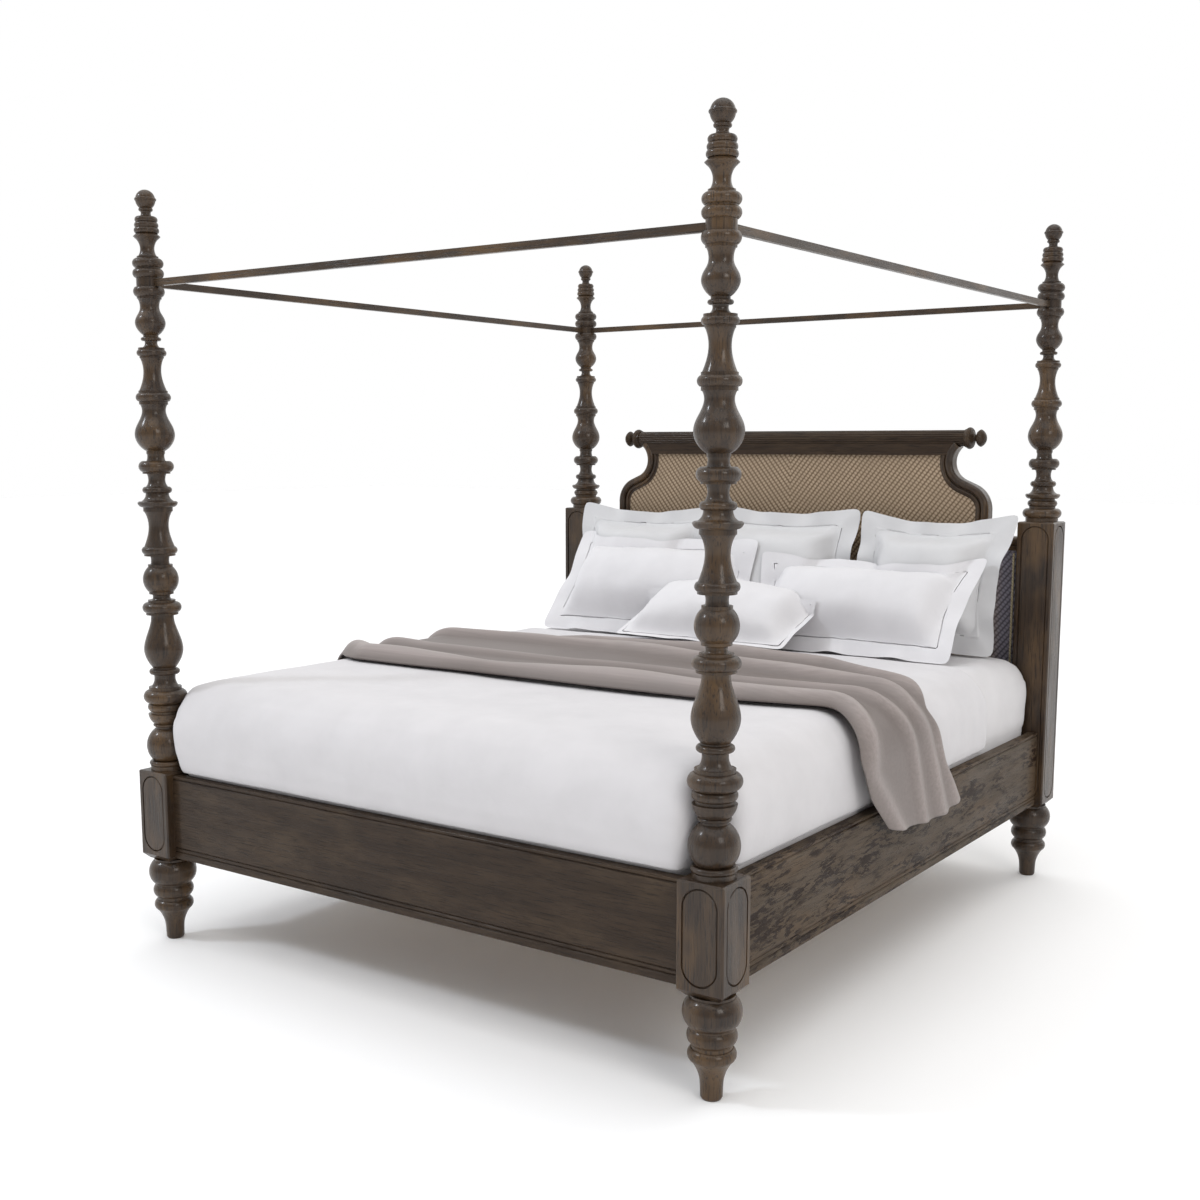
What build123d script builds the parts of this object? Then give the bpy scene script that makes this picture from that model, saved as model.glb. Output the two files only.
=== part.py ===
"""Four-poster bed in dolls' house scale, one twelfth of full size.

Millimetres, +Z up, origin on the floor under the centre of the bed.
The head of the bed is towards +Y, the foot towards -Y.
"""
import math
import os

from build123d import *

# Whole bed
POST_X = 82.5                 # post centres, half the spacing across the bed
POST_Y = 93.2                 # post centres, half the spacing along the bed

# Posts, heights above the floor
BLOCK_SIDE = 10.8
BLOCK_BOTTOM = 21.9
FRONT_BLOCK_TOP = 45.5
REAR_BLOCK_TOP = 106.8
BLOCK_CHAMFER = 1.5
UPPER_TURNING_BOTTOM = 113.5
COLLAR_BOTTOM = 165.7
FINIAL_BOTTOM = 172.4

ARRIS_RADIUS = 0.5
TOP_CHAMFER = 0.4

# Oval panels on the outer faces of the blocks
OVAL_WIDTH = 7.9
OVAL_RAISE = 0.35
OVAL_MARGIN = 1.2
OVAL_EDGE = 0.15

# Pins and dowels
PIN_RADIUS = 1.0
PIN_BOTTOM = 157.8
PIN_TOP = 177.0
PIN_CLEARANCE = 0.05          # radial, so that canopy and finials lift off
DOWEL_RADIUS = 1.0
FOOT_DOWEL_BOTTOM = 16.0
FOOT_DOWEL_TOP = 27.5
BLOCK_DOWEL_BOTTOM = 41.0
BLOCK_DOWEL_TOP = 50.0
TURNING_DOWEL_TOP = 117.6
FRONT_TURNING_DOWEL_BOTTOM = 109.8
REAR_TURNING_DOWEL_BOTTOM = 101.5

# Rails between the blocks
RAIL_BOTTOM = 23.1
RAIL_TOP = 44.8
RAIL_THICKNESS = 3.0
RAIL_FACE = 3.15              # outer face of a rail, measured out from the post centre
TENON_LENGTH = 2.6
TENON_THICKNESS = 1.4
TENON_HEIGHT = 14.0
RAIL_EDGE_RADIUS = 0.35
LOWER_GROOVE = 1.75           # moulding grooves, above the bottom edge
UPPER_GROOVE = 2.75
TOP_GROOVE = 0.9              # and below the top edge
GROOVE_SIDE = 0.45

# Slats and the ledgers that carry them
LEDGER_TOP = 37.0
LEDGER_SIZE = 2.4
SLAT_COUNT = 9
SLAT_WIDTH = 9.0
SLAT_THICKNESS = 1.5
LEDGER_END_GAP = 2.0
SLAT_END_GAP = 0.2

# Canopy rails
CANOPY_RAIL_BOTTOM = 168.15
CANOPY_RAIL_HEIGHT = 1.7
CANOPY_RAIL_WIDTH = 1.2
DRUM_RADIUS = 2.97
CANOPY_RAIL_SOCKET = 1.4      # how far a rail end enters its drum

# Headboard
HEADBOARD_Y = 93.2            # middle of the roll and of the moulded frame
HEADBOARD_BOTTOM = 58.0       # the boards stand on the head rail
ROLL_Z = 131.1
ROLL_RADIUS = 2.45
ROLL_HALF_LENGTH = 58.6
REED_COUNT = 20
REED_RADIUS = 0.36
BAND_BOTTOM = 126.0
BAND_FRONT = 91.3
BAND_BACK = 94.9
CORE_FRONT = 93.2
CORE_BACK = 94.8
WEAVE_FRONT = 92.3
FRAME_WIDTH = 4.2
FRAME_BACK = 2.0              # depth of the frame behind its middle
NECK_X = 55.1                 # half width of the headboard at its neck
NECK_Z = 124.0
NECK_RADIUS = 5.9             # outer edges of the three bends
SHOULDER_RADIUS = 8.2
FOOT_COVE_RADIUS = 4.0
FRAME_TOP = 130.0
SHOULDER_SLOPE = 23.3         # degrees below level between the neck and the shoulder
SLOPE_LENGTH = 3.5
SHOULDER_DROP = 3.5
BIG_BEAD_RADIUS = 1.2
SMALL_BEAD_RADIUS = 0.55
BEAD_BASE = 1.1
BEAD_QUIRK = 0.15             # flat between the two beads
EDGE_CORD_RADIUS = 0.35
EDGE_CORD_X = 76.5
EDGE_CORD_BOTTOM = 59.0
EDGE_CORD_TOP = 97.2
FIT = 0.02                    # assembly clearance at close curved joints

# Mattress and coverlet
MATTRESS_BOTTOM = 38.7
MATTRESS_STEP = 45.8          # above this height the mattress swells out over the rails
MATTRESS_TOP = 67.6
LOWER_HALF_WIDTH = 82.2
LOWER_END_HALF_WIDTH = 75.4
LOWER_FOOT_Y = -92.9
UPPER_HALF_WIDTH = 83.3
UPPER_FOOT_Y = -94.9
MATTRESS_HEAD_Y = 90.0
NOTCH_Y = 86.8                # the full width ends here, clear of the blocks
BLOCK_GAP = 0.4
POST_NOTCH_RADIUS = 6.0       # room round each foot post
COVERLET_THICKNESS = 0.7
COVERLET_HEAD_Y = 50.0
SOFT_EDGE_RADIUS = 11.5

# Throw laid across the bed, a little askew and widest in the middle: (x, y) round its edge
THROW_OUTLINE = [(-90, -40), (45, -40), (90, -27), (90, 14), (66, 22), (20, 27), (-90, 15)]
THROW_INNER_X = 86.6          # hangs clear of the side rails
THROW_OUTER_X = 88.2
THROW_UNDERSIDE = 68.6
THROW_TOP = 71.4
THROW_HEM = 40.0
THROW_SHOULDER = 11.0

# Pillows: width, height, thickness and how far each leans back from upright, in degrees
SHAM_SIZE = (50.5, 40.0, 8.5)
SHAM_LEAN = 14.0
SHAM_Y = 81.3
SHAM_X = (-52.2, 0.0, 52.2)
KING_SIZE = (71.5, 35.0, 8.5)
KING_LEAN = 41.0
KING_Y = 64.0
KING_X = (-36.2, 36.2)
LUMBAR_SIZE = (54.0, 32.0, 7.5)
LUMBAR_LEAN = 62.0
LUMBAR_Y = 42.5
LUMBAR_X = -4.5
PILLOW_CORNER = 4.0
PILLOW_REST = 68.5            # lowest point of a pillow


def dome(radius, rise):
    """Radii of a round cap that closes on the axis."""
    centre = (rise**2 - radius**2) / (2 * rise)
    return (radius, math.sqrt((rise - centre) ** 2 - (rise / 2 - centre) ** 2), 0.0)


# Turned profiles. Each moulding is (name, height, radii from its lower to its upper edge):
# one radius is a cylinder, two a cone, three a round arc and more a smooth curve.
FOOT_MOULDINGS = [
    ("toe", 0.5, (1.95, 2.26)),
    ("taper", 7.6, (2.26, 2.33, 2.5, 3.1, 4.3)),
    ("lower ring", 2.6, (4.35, 4.97, 4.3)),
    ("fillet", 0.9, (4.15,)),
    ("upper ring", 3.2, (4.3, 5.12, 4.5)),
    ("fillet", 0.4, (4.6,)),
    ("ball", 6.1, (4.7, 6.05, 4.7)),
    ("neck", 0.6, (4.6,)),
]
LOWER_MOULDINGS = [
    ("collar band", 1.2, (4.4,)),
    ("collar ring", 1.3, (4.3, 4.7, 4.3)),
    ("ball", 8.4, (3.6, 5.2, 2.9)),
    ("fillet", 0.5, (2.85,)),
    ("small ring", 0.8, (3.0, 3.4, 3.0)),
    ("cup", 2.6, (3.2, 4.15, 4.5)),
    ("groove", 0.7, (3.85,)),
    ("ring", 2.1, (4.0, 4.55, 4.0)),
    ("torus", 3.4, (4.3, 5.48, 4.3)),
    ("step", 0.8, (4.1,)),
    ("neck", 3.2, (3.5, 2.7, 2.75)),
    ("ring", 1.5, (3.2, 3.82, 3.2)),
    ("fillet", 0.3, (2.9,)),
    ("vase", 13.7, (2.9, 4.3, 4.87, 4.55, 3.8, 3.05, 2.85)),
    ("fillet", 0.5, (4.0,)),
    ("torus", 2.7, (3.9, 4.84, 3.7)),
    ("step", 0.6, (3.4,)),
    ("neck", 1.5, (2.5, 2.14, 2.4)),
    ("fillet", 0.6, (3.04,)),
    ("ball", 6.3, (3.1, 4.42, 3.1)),
    ("fillet", 0.7, (3.05,)),
    ("neck", 2.2, (2.35, 2.24, 2.4)),
    ("fillet", 0.5, (3.86,)),
    ("ring", 1.8, (3.9, 4.41, 3.9)),
    ("long neck", 9.0, (3.75, 2.95, 2.5, 2.6, 3.45)),
    ("step", 1.1, (3.63,)),
]
REAR_BASE_MOULDINGS = [
    ("plinth", 1.1, (4.6,)),
    ("torus", 2.7, (4.6, 5.5, 4.6)),
    ("groove", 0.7, (3.7,)),
    ("ring", 1.7, (3.8, 4.2, 3.7)),
    ("step", 0.5, (3.5,)),
]
UPPER_MOULDINGS = [
    ("disc underside", 1.1, (4.1, 4.75, 4.95)),
    ("disc edge", 0.3, (4.95, 4.6)),
    ("cove", 2.1, (4.1, 3.05, 2.85)),
    ("ring", 1.6, (3.1, 3.62, 3.1)),
    ("neck", 3.3, (2.75, 2.15, 2.1, 2.4)),
    ("fillet", 0.4, (3.4,)),
    ("torus", 2.8, (3.4, 4.32, 3.4)),
    ("neck", 1.8, (2.35, 2.1, 2.15)),
    ("fillet", 0.7, (2.28,)),
    ("great vase", 11.6, (2.3, 4.25, 4.87, 4.55, 3.6, 2.92, 3.3)),
    ("step", 0.8, (3.52,)),
    ("ring", 2.0, (3.8, 4.27, 3.7)),
    ("step", 0.6, (3.55,)),
    ("long neck", 8.1, (3.35, 2.6, 2.2, 2.25, 2.85)),
    ("step", 0.5, (2.95,)),
    ("ring", 1.5, (3.2, 3.61, 3.2)),
    ("step", 0.5, (3.2,)),
    ("neck", 1.7, (2.4, 1.55, 1.6)),
    ("small ring", 0.9, (2.1, 2.46, 2.1)),
    ("fillet", 0.5, (1.85,)),
    ("small vase", 8.9, (1.8, 3.2, 3.68, 3.3, 2.5, 2.35, 2.8)),
    ("step", 0.5, (2.98,)),
]
COLLAR_MOULDINGS = [
    ("lower ring", 2.3, (3.1, 3.79, 3.4)),
    ("drum", 2.3, (DRUM_RADIUS,)),
    ("upper ring", 2.1, (3.2, 3.78, 3.3)),
]
FINIAL_MOULDINGS = [
    ("groove", 0.4, (3.05,)),
    ("ring", 2.2, (3.25, 3.76, 3.0)),
    ("step", 0.5, (2.6,)),
    ("neck", 4.3, (2.3, 1.8, 1.72, 2.0, 2.75)),
    ("plate underside", 0.5, (2.8, 3.29)),
    ("plate top", 0.8, (3.29, 2.45)),
    ("stacked ring", 1.3, (2.75, 3.03, 2.75)),
    ("stacked ring", 1.3, (2.6, 2.9, 2.6)),
    ("stacked ring", 1.4, (2.45, 2.75, 2.3)),
    ("neck", 1.3, (1.6, 1.2, 1.35)),
    ("small ring", 0.8, (1.5, 1.73, 1.5)),
    ("bowl", 1.7, (1.5, 2.15, 2.4)),
    ("rim", 0.7, (2.45, 2.62, 2.42)),
    ("cap", 2.0, dome(2.35, 2.0)),
]
ROLL_END_MOULDINGS = [
    ("fillet", 0.4, (2.75,)),
    ("ring", 1.7, (2.8, 3.25, 2.6)),
    ("shoulder", 0.5, (2.2, 1.3)),
    ("neck", 0.9, (1.1, 0.95, 1.2)),
    ("knob underside", 1.2, (1.5, 2.3, 2.6)),
    ("knob face", 1.6, dome(2.6, 1.6)),
]


def turned_outline(mouldings):
    """Closed half section in the XZ plane, radius along X, turned later about Z."""
    height = 0.0
    edges = []
    last = (0.0, 0.0)
    for _name, rise, radii in mouldings:
        steps = max(len(radii) - 1, 1)
        points = [(radius, height + rise * i / steps) for i, radius in enumerate(radii)]
        if len(points) == 1:
            points.append((radii[0], height + rise))
        if math.dist(last, points[0]) > 1e-6:
            edges.append(Line(last, points[0]))
        if len(points) == 2:
            edges.append(Line(*points))
        elif len(points) == 3:
            edges.append(ThreePointArc(*points))
        else:
            edges.append(Spline(*points))
        last = points[-1]
        height += rise
    if last[0] > 0:
        edges.append(Line(last, (0.0, height)))
    edges.append(Line((0.0, height), (0.0, 0.0)))
    return Plane.XZ * make_face(Curve() + edges)


def turned(mouldings):
    """Solid turned about Z, standing on the XY plane."""
    return revolve(turned_outline(mouldings), Axis.Z)


def post_position(side, end):
    """side is -1 left or 1 right, end is -1 foot or 1 head."""
    return Location((side * POST_X, end * POST_Y, 0))


def rod(radius, bottom, top):
    """Upright cylinder about Z."""
    return Pos(0, 0, (bottom + top) / 2) * Cylinder(radius, top - bottom)


def slab(x_range, y_range, z_range):
    """Box between three pairs of limits."""
    size = [high - low for low, high in (x_range, y_range, z_range)]
    centre = [(high + low) / 2 for low, high in (x_range, y_range, z_range)]
    return Pos(*centre) * Box(*size)


def oval_face(width, height):
    """Upright oval with semicircular ends, in the XY plane, long along Y."""
    return Rot(0, 0, 90) * SlotOverall(height, width)


def panel_groove(height):
    """Groove round a raised oval panel. It is cut into a face that looks along +Z."""
    outer = oval_face(OVAL_WIDTH + 2 * OVAL_EDGE, height + 2 * OVAL_EDGE)
    channel = extrude(outer, -OVAL_RAISE)
    panel = Pos(0, 0, -OVAL_RAISE) * extrude(oval_face(OVAL_WIDTH, height), OVAL_RAISE, taper=40)
    return channel - panel


def foot():
    bore = rod(DOWEL_RADIUS, FOOT_DOWEL_BOTTOM, BLOCK_BOTTOM)
    return turned(FOOT_MOULDINGS) - bore


def lower_turning():
    part = Pos(0, 0, FRONT_BLOCK_TOP) * turned(LOWER_MOULDINGS)
    part -= rod(DOWEL_RADIUS, FRONT_BLOCK_TOP, BLOCK_DOWEL_TOP)
    return part - rod(DOWEL_RADIUS, FRONT_TURNING_DOWEL_BOTTOM, UPPER_TURNING_BOTTOM)


def rear_base_turning():
    part = Pos(0, 0, REAR_BLOCK_TOP) * turned(REAR_BASE_MOULDINGS)
    return part - rod(DOWEL_RADIUS, REAR_BLOCK_TOP, UPPER_TURNING_BOTTOM)


def upper_turning():
    part = Pos(0, 0, UPPER_TURNING_BOTTOM) * turned(UPPER_MOULDINGS)
    part -= rod(DOWEL_RADIUS, UPPER_TURNING_BOTTOM, TURNING_DOWEL_TOP)
    return part - rod(PIN_RADIUS, PIN_BOTTOM, COLLAR_BOTTOM)


def canopy_collar():
    part = Pos(0, 0, COLLAR_BOTTOM) * turned(COLLAR_MOULDINGS)
    return part - rod(PIN_RADIUS + PIN_CLEARANCE, COLLAR_BOTTOM, FINIAL_BOTTOM)


def finial():
    part = Pos(0, 0, FINIAL_BOTTOM) * turned(FINIAL_MOULDINGS)
    return part - rod(PIN_RADIUS + PIN_CLEARANCE, FINIAL_BOTTOM, PIN_TOP + PIN_CLEARANCE)


def outer_faces(side, end):
    """Panelled faces of a block, as planes through the post centre at floor level."""
    half = BLOCK_SIDE / 2
    faces = [
        Plane(origin=(side * half, 0, 0), x_dir=(0, side, 0), z_dir=(side, 0, 0)),
        Plane(origin=(0, -half, 0), x_dir=(1, 0, 0), z_dir=(0, -1, 0)),
    ]
    if end > 0:
        faces.append(Plane(origin=(0, half, 0), x_dir=(-1, 0, 0), z_dir=(0, 1, 0)))
    return faces


def block(side, end):
    top = FRONT_BLOCK_TOP if end < 0 else REAR_BLOCK_TOP
    half = BLOCK_SIDE / 2
    part = slab((-half, half), (-half, half), (BLOCK_BOTTOM, top))
    part = chamfer(part.edges().group_by(Axis.Z)[0], BLOCK_CHAMFER)
    part = chamfer(part.edges().group_by(Axis.Z)[-1], TOP_CHAMFER)
    part = fillet(part.edges().filter_by(Axis.Z), ARRIS_RADIUS)
    bottom = BLOCK_BOTTOM + BLOCK_CHAMFER
    groove = panel_groove(top - bottom - 2 * OVAL_MARGIN)
    for face in outer_faces(side, end):
        part -= face * Pos(0, (top + bottom) / 2, 0) * groove
    part -= rod(DOWEL_RADIUS, BLOCK_BOTTOM, FOOT_DOWEL_TOP)
    dowel_bottom = BLOCK_DOWEL_BOTTOM if end < 0 else REAR_TURNING_DOWEL_BOTTOM
    part -= rod(DOWEL_RADIUS, dowel_bottom, top)
    part = post_position(side, end) * part
    for cutter in (foot_rail(FIT), side_rail(side, FIT), head_rail(FIT)):
        part -= cutter
    return part


def rail(inner_length, top, clearance=0.0):
    """Rail along X whose outer face looks along -Y at Y = 0, with a tenon at each end.

    With a clearance it gives only the tenons, grown by it, to cut their mortises.
    """
    half = inner_length / 2
    middle = RAIL_THICKNESS / 2
    tenon_z = (RAIL_BOTTOM + RAIL_TOP) / 2
    tenons = slab(
        (-half - TENON_LENGTH - clearance, half + TENON_LENGTH + clearance),
        (middle - TENON_THICKNESS / 2 - clearance, middle + TENON_THICKNESS / 2 + clearance),
        (tenon_z - TENON_HEIGHT / 2 - clearance, tenon_z + TENON_HEIGHT / 2 + clearance),
    )
    if clearance:
        return tenons
    board = slab((-half, half), (0, RAIL_THICKNESS), (RAIL_BOTTOM, top))
    board = fillet(board.edges().filter_by(Axis.X).group_by(Axis.Z)[-1], RAIL_EDGE_RADIUS)
    for height in (RAIL_BOTTOM + LOWER_GROOVE, RAIL_BOTTOM + UPPER_GROOVE, top - TOP_GROOVE):
        board -= Pos(0, 0, height) * Rot(45, 0, 0) * Box(inner_length, GROOVE_SIDE, GROOVE_SIDE)
    return board + tenons


def foot_rail(clearance=0.0):
    length = 2 * POST_X - BLOCK_SIDE
    return Pos(0, -POST_Y - RAIL_FACE, 0) * rail(length, RAIL_TOP, clearance)


def head_rail(clearance=0.0):
    length = 2 * POST_X - BLOCK_SIDE
    turned_round = Rot(0, 0, 180) * rail(length, HEADBOARD_BOTTOM, clearance)
    return Pos(0, POST_Y + RAIL_FACE, 0) * turned_round


def side_rail(side, clearance=0.0):
    length = 2 * POST_Y - BLOCK_SIDE
    turned_sideways = Rot(0, 0, side * 90) * rail(length, RAIL_TOP, clearance)
    return Pos(side * (POST_X + RAIL_FACE), 0, 0) * turned_sideways


def ledger(side):
    """Strip along the inside of a side rail that carries the slat ends."""
    inner = POST_X + RAIL_FACE - RAIL_THICKNESS
    half = POST_Y - BLOCK_SIDE / 2 - LEDGER_END_GAP
    x_range = sorted((side * inner, side * (inner - LEDGER_SIZE)))
    return slab(x_range, (-half, half), (LEDGER_TOP - LEDGER_SIZE, LEDGER_TOP))


def slats():
    half = POST_X + RAIL_FACE - RAIL_THICKNESS - SLAT_END_GAP
    reach = POST_Y - BLOCK_SIDE / 2 - SLAT_WIDTH
    parts = []
    for i in range(SLAT_COUNT):
        y = -reach + 2 * reach * i / (SLAT_COUNT - 1)
        y_range = (y - SLAT_WIDTH / 2, y + SLAT_WIDTH / 2)
        parts.append(slab((-half, half), y_range, (LEDGER_TOP, LEDGER_TOP + SLAT_THICKNESS)))
    return Compound(children=parts)


def canopy_rail_across(end):
    """Canopy rail along X whose ends enter the drums of two collars."""
    half = POST_X - DRUM_RADIUS + CANOPY_RAIL_SOCKET
    y = end * POST_Y
    width = CANOPY_RAIL_WIDTH / 2
    z_range = (CANOPY_RAIL_BOTTOM, CANOPY_RAIL_BOTTOM + CANOPY_RAIL_HEIGHT)
    return slab((-half, half), (y - width, y + width), z_range)


def canopy_rail_along(side):
    half = POST_Y - DRUM_RADIUS + CANOPY_RAIL_SOCKET
    x = side * POST_X
    width = CANOPY_RAIL_WIDTH / 2
    z_range = (CANOPY_RAIL_BOTTOM, CANOPY_RAIL_BOTTOM + CANOPY_RAIL_HEIGHT)
    return slab((x - width, x + width), (-half, half), z_range)


def headboard_frame_path():
    """Middle line of the right-hand frame moulding, from under the roll down to the post."""
    middle = FRAME_WIDTH / 2
    neck_radius = NECK_RADIUS + middle
    rise = FRAME_TOP - NECK_Z
    run = math.sqrt(neck_radius**2 - rise**2)
    start = (NECK_X + NECK_RADIUS - run, rise + NECK_Z)
    heading = (-rise / neck_radius, -run / neck_radius)
    turn = math.degrees(math.asin(rise / neck_radius)) + 90 - SHOULDER_SLOPE
    neck = JernArc(start, heading, neck_radius, turn)
    slope = Line(neck @ 1, neck @ 1 + (neck % 1) * SLOPE_LENGTH)
    shoulder = JernArc(slope @ 1, slope % 1, SHOULDER_RADIUS - middle, SHOULDER_SLOPE - 90)
    drop = Line(shoulder @ 1, shoulder @ 1 + (shoulder % 1) * SHOULDER_DROP)
    cove = JernArc(drop @ 1, drop % 1, FOOT_COVE_RADIUS + middle, 90)
    post_face = POST_X - BLOCK_SIDE / 2 - FIT
    run_out = Line(cove @ 1, (post_face, (cove @ 1).Y))
    return Curve() + [neck, slope, shoulder, drop, cove, run_out]


def headboard_frame_section():
    """Cross section of the frame: across it along X, outer edge at +X, front towards +Y."""
    half = FRAME_WIDTH / 2
    quirk = half - 2 * BIG_BEAD_RADIUS
    bead_end = quirk - BEAD_QUIRK - 2 * SMALL_BEAD_RADIUS
    outline = [
        Line((-half, -FRAME_BACK), (half, -FRAME_BACK)),
        Line((half, -FRAME_BACK), (half, BEAD_BASE)),
        ThreePointArc(
            (half, BEAD_BASE),
            (half - BIG_BEAD_RADIUS, BEAD_BASE + BIG_BEAD_RADIUS),
            (quirk, BEAD_BASE),
        ),
        Line((quirk, BEAD_BASE), (quirk - BEAD_QUIRK, BEAD_BASE)),
        ThreePointArc(
            (quirk - BEAD_QUIRK, BEAD_BASE),
            (quirk - BEAD_QUIRK - SMALL_BEAD_RADIUS, BEAD_BASE + SMALL_BEAD_RADIUS),
            (bead_end, BEAD_BASE),
        ),
        Line((bead_end, BEAD_BASE), (-half, BEAD_BASE - BEAD_QUIRK)),
        Line((-half, BEAD_BASE - BEAD_QUIRK), (-half, -FRAME_BACK)),
    ]
    return make_face(Curve() + outline)


def roll_bed():
    """Cutter for the round seat that the roll lies in."""
    return headboard_line(Cylinder(ROLL_RADIUS + FIT, 2 * ROLL_HALF_LENGTH))


def headboard_line(shape):
    """Lay a shape made about Z along X on the middle line of the roll."""
    return Pos(0, HEADBOARD_Y, ROLL_Z) * Rot(0, 90, 0) * shape


def headboard_frame(side):
    upright = Plane(origin=(0, HEADBOARD_Y, 0), x_dir=(1, 0, 0), z_dir=(0, -1, 0))
    path = upright * headboard_frame_path()
    start = path.edges().sort_by(Axis.Z)[-1]
    tangent = start % 0 if (start @ 0).Z > (start @ 1).Z else -(start % 1)
    top = start @ 0 if (start @ 0).Z > (start @ 1).Z else start @ 1
    outward = Vector(-tangent.Z, 0, tangent.X)
    section = Plane(origin=top, x_dir=outward, z_dir=tangent) * headboard_frame_section()
    part = sweep(section, path) - roll_bed()
    return part if side > 0 else mirror(part, Plane.YZ)


def biggest(part):
    return max(part.solids(), key=lambda solid: solid.volume)


def headboard_band():
    """Plain board between the two frames, under the roll."""
    half = NECK_X
    part = slab((-half, half), (BAND_FRONT, BAND_BACK), (BAND_BOTTOM, FRAME_TOP))
    part -= roll_bed()
    for side in (-1, 1):
        part -= headboard_frame(side)
    return biggest(part)


def headboard_board(front, back):
    """Board that fills the frame from post to post, standing on the head rail."""
    half = POST_X - BLOCK_SIDE / 2 - 2 * FIT
    part = slab((-half, half), (front, back), (HEADBOARD_BOTTOM, BAND_BOTTOM))
    for side in (-1, 1):
        part -= headboard_frame(side)
    return biggest(part)


def headboard_roll():
    """Half-round reeds run the length of the roll."""
    section = Circle(ROLL_RADIUS - REED_RADIUS / 2)
    reed = Pos(ROLL_RADIUS - REED_RADIUS, 0) * Circle(REED_RADIUS)
    for i in range(REED_COUNT):
        section += Rot(0, 0, 360 * i / REED_COUNT) * reed
    return headboard_line(extrude(section, ROLL_HALF_LENGTH, both=True))


def roll_end(side):
    part = headboard_line(Pos(0, 0, ROLL_HALF_LENGTH) * turned(ROLL_END_MOULDINGS))
    return part if side > 0 else mirror(part, Plane.YZ)


def edge_cord(side):
    """Twisted cord that covers the edge of the woven panel beside a post."""
    y = WEAVE_FRONT - EDGE_CORD_RADIUS - FIT
    return Pos(side * EDGE_CORD_X, y, 0) * rod(EDGE_CORD_RADIUS, EDGE_CORD_BOTTOM, EDGE_CORD_TOP)


def post_keepout(end, radius):
    """Space that the mattress leaves free round the two posts at one end."""
    half = BLOCK_SIDE / 2 + BLOCK_GAP
    parts = []
    for side in (-1, 1):
        if end > 0:
            room = slab((-half, half), (-half, half), (MATTRESS_BOTTOM, THROW_TOP))
        else:
            room = rod(radius, MATTRESS_BOTTOM, THROW_TOP)
        parts.append(post_position(side, end) * room)
    return parts


def soft_top(half_width, y_range, top):
    """Upper half of the bedding, rounded over along its top edges."""
    part = slab((-half_width, half_width), y_range, (MATTRESS_STEP, top))
    return fillet(part.edges().group_by(Axis.Z)[-1], SOFT_EDGE_RADIUS)


def mattress():
    z_range = (MATTRESS_BOTTOM, MATTRESS_STEP)
    part = slab((-LOWER_HALF_WIDTH, LOWER_HALF_WIDTH), (-NOTCH_Y, NOTCH_Y), z_range)
    end_range = (-LOWER_END_HALF_WIDTH, LOWER_END_HALF_WIDTH)
    part += slab(end_range, (LOWER_FOOT_Y, MATTRESS_HEAD_Y), z_range)
    part += soft_top(UPPER_HALF_WIDTH, (UPPER_FOOT_Y, MATTRESS_HEAD_Y), MATTRESS_TOP)
    for room in post_keepout(-1, POST_NOTCH_RADIUS + COVERLET_THICKNESS) + post_keepout(1, 0):
        part -= room
    return part


def coverlet():
    half_width = UPPER_HALF_WIDTH + COVERLET_THICKNESS
    y_range = (UPPER_FOOT_Y - COVERLET_THICKNESS, COVERLET_HEAD_Y + SOFT_EDGE_RADIUS)
    part = soft_top(half_width, y_range, MATTRESS_TOP + COVERLET_THICKNESS)
    part &= slab((-half_width, half_width), (y_range[0], COVERLET_HEAD_Y), (0, THROW_TOP))
    for room in post_keepout(-1, POST_NOTCH_RADIUS):
        part -= room
    return part - mattress()


def throw():
    """Blanket across the bed whose two ends hang outside the side rails."""
    plan = make_face(Polyline(*THROW_OUTLINE, close=True))
    ends = [y for _x, y in THROW_OUTLINE]
    y_range = (min(ends), max(ends))
    outer = slab((-THROW_OUTER_X, THROW_OUTER_X), y_range, (THROW_HEM, THROW_TOP))
    inner = slab((-THROW_INNER_X, THROW_INNER_X), y_range, (THROW_HEM, THROW_UNDERSIDE))
    outer = fillet(outer.edges().filter_by(Axis.Y).group_by(Axis.Z)[-1], THROW_SHOULDER)
    inner = fillet(inner.edges().filter_by(Axis.Y).group_by(Axis.Z)[-1], THROW_SHOULDER - 1)
    return (outer - inner) & extrude(Pos(0, 0, THROW_HEM) * plan, THROW_TOP - THROW_HEM)


def pillow(size, lean, x, y):
    """Crowned cushion that leans back and stands on the bedding."""
    width, height, thickness = size
    sections = []
    for share, scale in ((-0.5, 0.55), (-0.3, 0.88), (0.0, 1.0), (0.3, 0.88), (0.5, 0.55)):
        face = RectangleRounded(width * scale, height * scale, PILLOW_CORNER)
        sections.append(Pos(0, 0, thickness * share) * face)
    part = Rot(90 - lean, 0, 0) * loft(sections)
    return Pos(x, y, PILLOW_REST - part.bounding_box().min.Z) * part


def four(shape):
    """The same small part at every post, as separate solids."""
    corners = [(side, end) for end in (-1, 1) for side in (-1, 1)]
    return Compound(children=[post_position(*corner) * shape for corner in corners])


def pair(shape, end):
    """The same small part at the two posts of one end."""
    return Compound(children=[post_position(side, end) * shape for side in (-1, 1)])


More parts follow.
